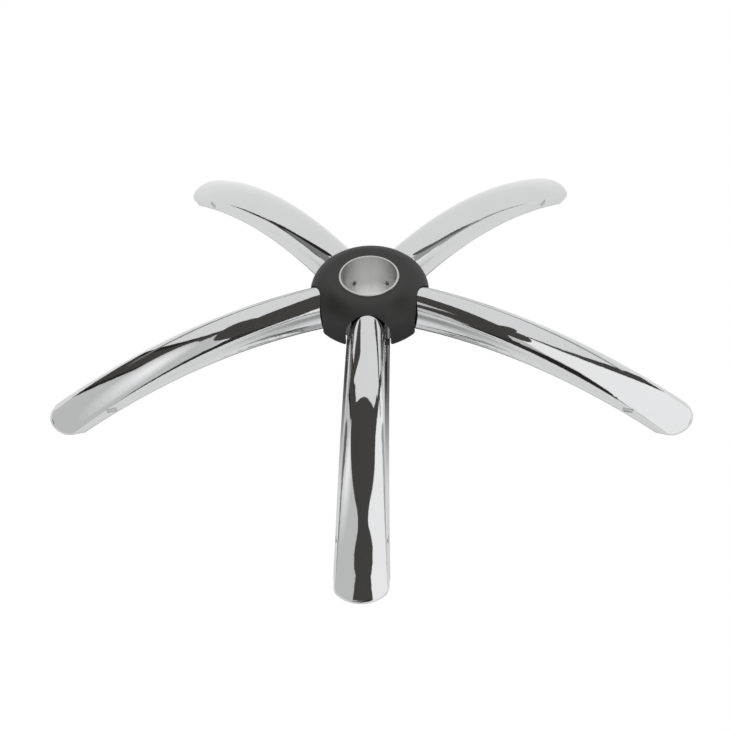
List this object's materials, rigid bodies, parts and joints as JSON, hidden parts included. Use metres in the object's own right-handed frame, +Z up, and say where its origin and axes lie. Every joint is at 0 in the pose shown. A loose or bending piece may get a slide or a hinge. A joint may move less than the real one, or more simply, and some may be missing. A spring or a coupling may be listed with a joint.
{
  "type": "office chair five star base",
  "caption": "Star-shaped office chair base: curved chromed channel legs welded to a tube that takes the gas spring, with a dark hub cover and a castor socket in each leg end.",
  "frame": {"origin": "centre of the hub tube's mouth, on the gas spring's axis", "axes": "+Z up along the gas spring's axis, -Y along the front leg"},
  "size_m": [0.5732, 0.5476, 0.091],
  "materials": {
    "chromed_steel": "polished",
    "zinc_steel": "satin",
    "dark_plastic": "fine texture"
  },
  "bodies": {
    "root": {"hub_tube": "zinc_steel", "hub_cover": "dark_plastic", "leg_front": "chromed_steel", "leg_right": "chromed_steel", "leg_back_right": "chromed_steel", "leg_back_left": "chromed_steel", "leg_left": "chromed_steel", "castor_socket_front": "zinc_steel", "castor_socket_right": "zinc_steel", "castor_socket_back_right": "zinc_steel", "castor_socket_back_left": "zinc_steel", "castor_socket_left": "zinc_steel", "socket_plate_front": "zinc_steel", "socket_plate_right": "zinc_steel", "socket_plate_back_right": "zinc_steel", "socket_plate_back_left": "zinc_steel", "socket_plate_left": "zinc_steel"}
  },
  "joints": []
}
